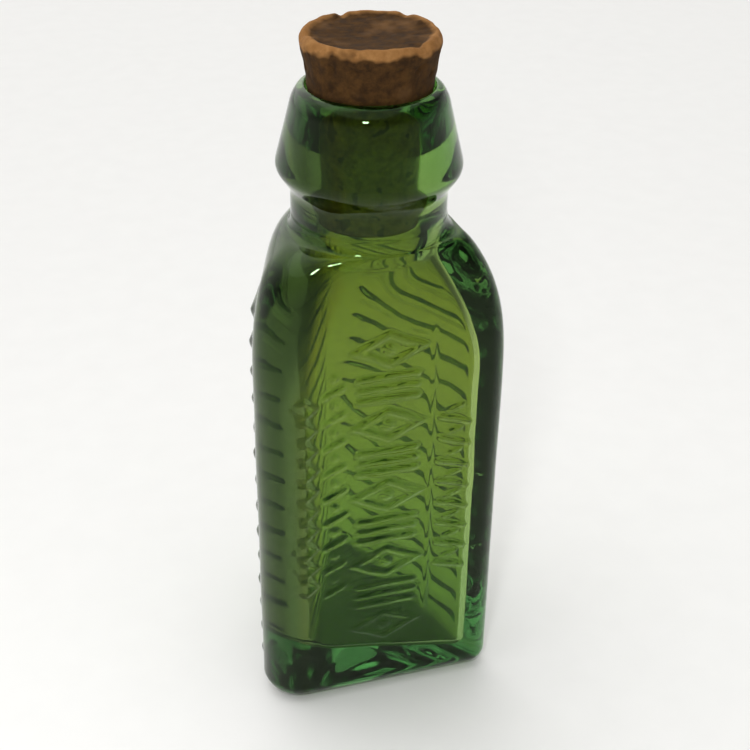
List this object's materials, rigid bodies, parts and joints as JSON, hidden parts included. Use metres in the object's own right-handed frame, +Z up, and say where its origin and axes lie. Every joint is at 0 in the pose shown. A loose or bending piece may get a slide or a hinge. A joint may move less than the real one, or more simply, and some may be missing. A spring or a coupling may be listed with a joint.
{
  "type": "medicine bottle with cork",
  "caption": "Small three-sided moulded green glass medicine bottle with ribbed back faces, a tapered collar and a tapered cork that pulls out.",
  "frame": {"origin": "on the resting plane, on the axis of the neck and the cork, on the flat underside of the glass", "axes": "+Z up along the neck's axis, -Y out of the flat front face, +X to the right seen from the front"},
  "size_m": [0.0289, 0.0309, 0.0828],
  "materials": {
    "green_glass": "clear thick bottle glass, glossy and slightly wavy, olive green where it is thin and dark green in the corners and base",
    "cork": "dull aged natural cork, dark red-brown with pits, and a paler worn rim round the top"
  },
  "bodies": {
    "bottle": {"glass_bottle": "green_glass"},
    "cork": {"cork_stopper": "cork"}
  },
  "joints": [
    {"name": "cork_pull", "type": "slide", "parent": "bottle", "child": "cork", "axis": [0, 0, 1], "range_m": [0, 0.03]}
  ]
}
